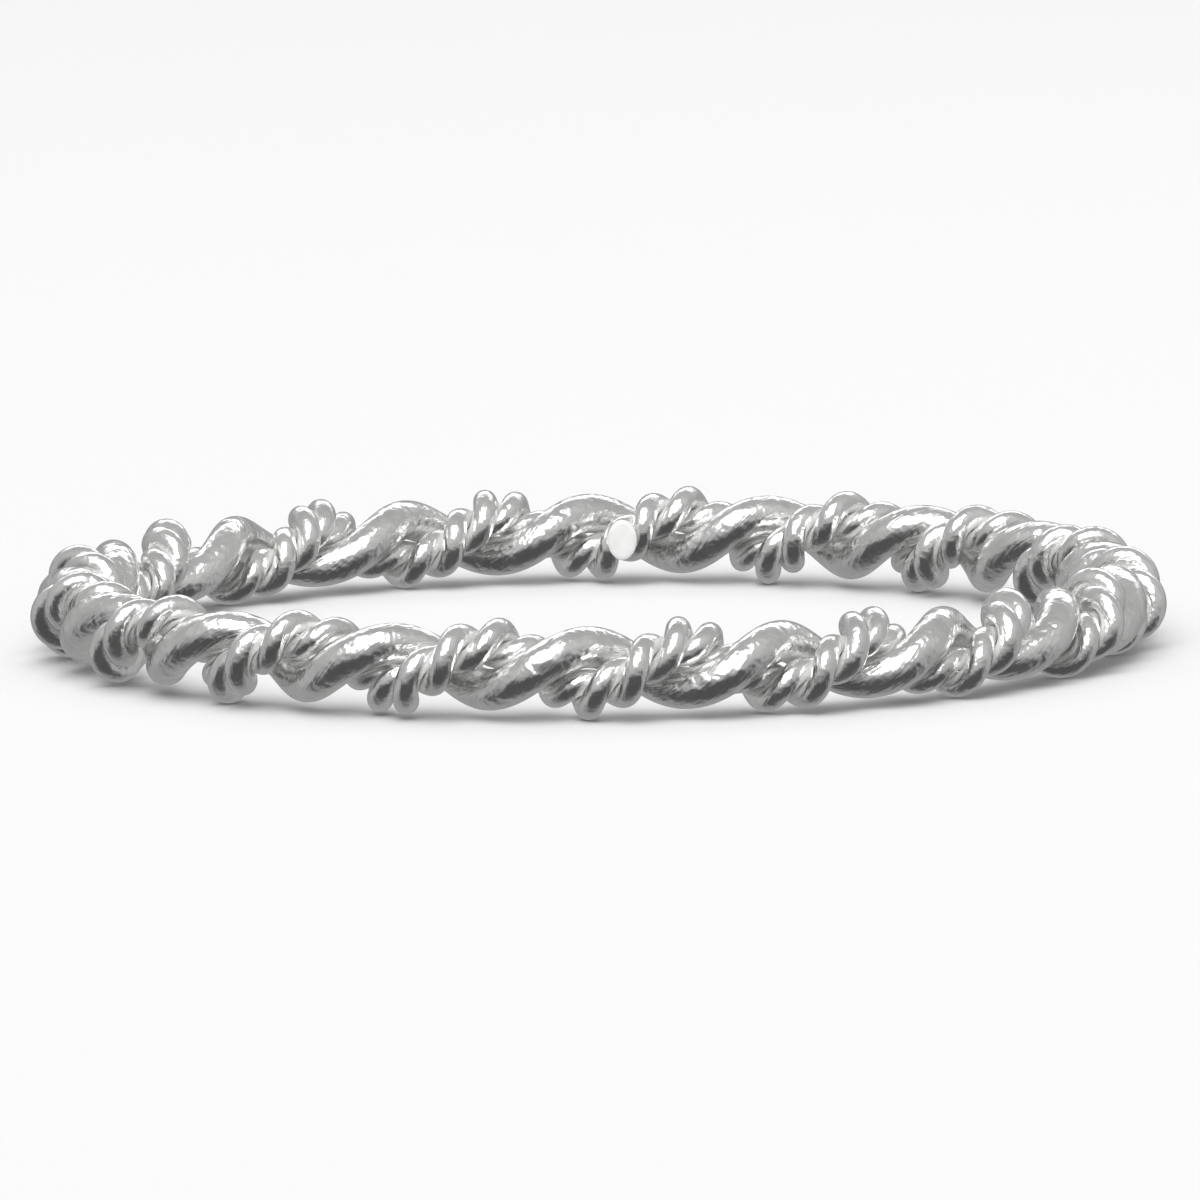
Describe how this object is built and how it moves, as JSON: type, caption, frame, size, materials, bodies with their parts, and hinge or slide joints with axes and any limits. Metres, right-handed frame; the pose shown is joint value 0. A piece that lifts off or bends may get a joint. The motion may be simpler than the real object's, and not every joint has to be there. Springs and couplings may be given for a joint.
{
  "type": "rope twist ring",
  "caption": "Thin finger ring of a heavy round wire and a twisted pair of fine wires laid round each other like a rope, with a small blank oval tag inside at the back.",
  "frame": {"origin": "on the ring's own axis, at the level of its lowest points: the middle of the circle that it rests on when it lies on its side", "axes": "+Z is the ring's axis, along the finger, pointing up as the ring lies; -Y is the pictured front, where the camera stands; the blank tag is inside at the back, near +Y"},
  "size_m": [0.0206, 0.0207, 0.0018],
  "materials": {
    "polished_silver": "polished sterling silver with fine drawing lines and rubbing marks",
    "bright_silver_wire": "bright drawn sterling silver, polished on the crests and slightly darker in the grooves",
    "bright_silver_tag": "flat sterling silver with a bright satin face, left blank"
  },
  "bodies": {
    "root": {"heavy_wire": "polished_silver", "fine_wire_a": "bright_silver_wire", "fine_wire_b": "bright_silver_wire", "oval_tag": "bright_silver_tag"}
  },
  "joints": []
}
